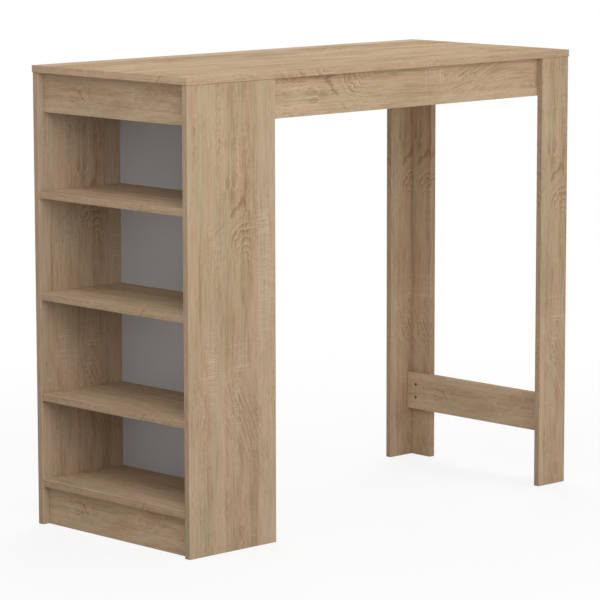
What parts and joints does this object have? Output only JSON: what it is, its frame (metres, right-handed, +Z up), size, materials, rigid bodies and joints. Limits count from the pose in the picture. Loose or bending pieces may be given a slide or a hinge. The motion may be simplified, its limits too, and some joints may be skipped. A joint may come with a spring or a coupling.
{
  "type": "bar table",
  "caption": "Bar-height table of faced boards with an open shelf unit under one end and two corner legs with a stretcher under the other.",
  "frame": {"origin": "on the floor, under the centre of the tabletop", "axes": "+X along the tabletop from the shelf unit to the legs, +Y from the front to the rear, +Z up"},
  "size_m": [1.205, 0.515, 1.035],
  "materials": {
    "oak_decor": "satin wood decor on faced board",
    "white_hardboard": "matt white lacquer",
    "dark_steel": "burnished",
    "zinc_plate": "zinc plated",
    "nickel_plate": "nickel plated",
    "cast_zinc": "as cast",
    "beech": "fluted, raw"
  },
  "bodies": {
    "root": {"tabletop": "oak_decor", "side_panel_front": "oak_decor", "side_panel_rear": "oak_decor", "bottom_shelf": "oak_decor", "shelf_lower": "oak_decor", "shelf_middle": "oak_decor", "shelf_upper": "oak_decor", "top_rail": "oak_decor", "plinth": "oak_decor", "apron_front": "oak_decor", "apron_rear": "oak_decor", "end_apron": "oak_decor", "stretcher": "oak_decor", "leg_front_face": "oak_decor", "leg_front_return": "oak_decor", "leg_rear_face": "oak_decor", "leg_rear_return": "oak_decor", "back_panel": "white_hardboard", "screw_side_panel_front_upper": "dark_steel", "screw_side_panel_front_lower": "dark_steel", "screw_side_panel_rear_upper": "dark_steel", "screw_side_panel_rear_lower": "dark_steel", "screw_leg_front_face_upper": "dark_steel", "screw_leg_front_face_lower": "dark_steel", "screw_leg_rear_face_upper": "dark_steel", "screw_leg_rear_face_lower": "dark_steel", "screw_end_apron_front_upper": "dark_steel", "screw_end_apron_front_lower": "dark_steel", "screw_end_apron_rear_upper": "dark_steel", "screw_end_apron_rear_lower": "dark_steel", "screw_stretcher_front_upper": "dark_steel", "screw_stretcher_front_lower": "dark_steel", "screw_stretcher_rear_upper": "dark_steel", "screw_stretcher_rear_lower": "dark_steel", "pin_shelf_lower_front_open": "nickel_plate", "pin_shelf_lower_front_inner": "nickel_plate", "pin_shelf_lower_rear_open": "nickel_plate", "pin_shelf_lower_rear_inner": "nickel_plate", "pin_shelf_middle_front_open": "nickel_plate", "pin_shelf_middle_front_inner": "nickel_plate", "pin_shelf_middle_rear_open": "nickel_plate", "pin_shelf_middle_rear_inner": "nickel_plate", "pin_shelf_upper_front_open": "nickel_plate", "pin_shelf_upper_front_inner": "nickel_plate", "pin_shelf_upper_rear_open": "nickel_plate", "pin_shelf_upper_rear_inner": "nickel_plate", "cam_top_rail_front": "cast_zinc", "cam_top_rail_rear": "cast_zinc", "cam_bottom_shelf_front": "cast_zinc", "cam_bottom_shelf_rear": "cast_zinc", "cam_bolt_top_rail_front": "zinc_plate", "cam_bolt_top_rail_rear": "zinc_plate", "cam_bolt_bottom_shelf_front": "zinc_plate", "cam_bolt_bottom_shelf_rear": "zinc_plate", "dowel_plinth_front": "beech", "dowel_plinth_rear": "beech", "bracket_front_1": "zinc_plate", "bracket_front_2": "zinc_plate", "bracket_rear_1": "zinc_plate", "bracket_rear_2": "zinc_plate"}
  },
  "joints": []
}
